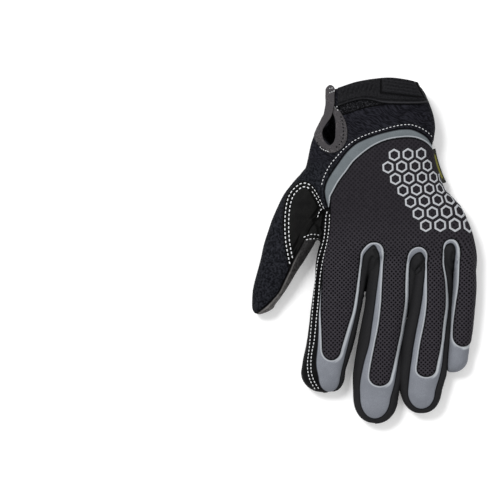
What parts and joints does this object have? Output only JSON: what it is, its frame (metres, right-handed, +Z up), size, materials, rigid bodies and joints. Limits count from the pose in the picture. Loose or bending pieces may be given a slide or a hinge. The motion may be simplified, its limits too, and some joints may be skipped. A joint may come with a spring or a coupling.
{
  "type": "utility glove",
  "caption": "Left-hand work glove with a mesh back, grey trims, a leather palm and a hook-and-loop wrist strap, lying palm down",
  "frame": {"origin": "on the floor under the middle of the palm, on the palm's flat underside", "axes": "+Z up out of the back of the hand, +Y from the fingertips towards the wrist, +X from the thumb towards the little finger"},
  "size_m": [0.1572, 0.2422, 0.0408],
  "materials": {
    "mesh_cloth": "charcoal air-mesh fabric with a fine diamond weave",
    "grey_trim": "mid-grey brushed synthetic suede",
    "stretch_cloth": "black stretch knit",
    "palm_leather": "black synthetic leather with white stitching",
    "cuff_cloth": "black fleecy stretch fabric over thin foam",
    "strap_rubber": "matt black moulded rubber",
    "binding_cloth": "folded brown-grey binding tape",
    "hook_pile": "black loop pile of a hook-and-loop closure",
    "label_cloth": "yellow woven tab with a black edge"
  },
  "bodies": {
    "root": {"back_panel": "mesh_cloth", "finger_trim": "grey_trim", "wrist_band": "grey_trim", "index_side_panel": "palm_leather", "thumb_back": "cuff_cloth", "thumb_side": "palm_leather", "thumb_palm": "palm_leather", "palm_panel": "palm_leather", "cuff": "cuff_cloth", "thumb_patch": "palm_leather", "hook_field": "hook_pile", "slit_binding": "binding_cloth", "wrist_strap": "strap_rubber", "fourchette_index_middle": "stretch_cloth", "fourchette_middle_ring": "stretch_cloth", "fourchette_ring_little": "stretch_cloth", "side_label": "label_cloth"}
  },
  "joints": []
}
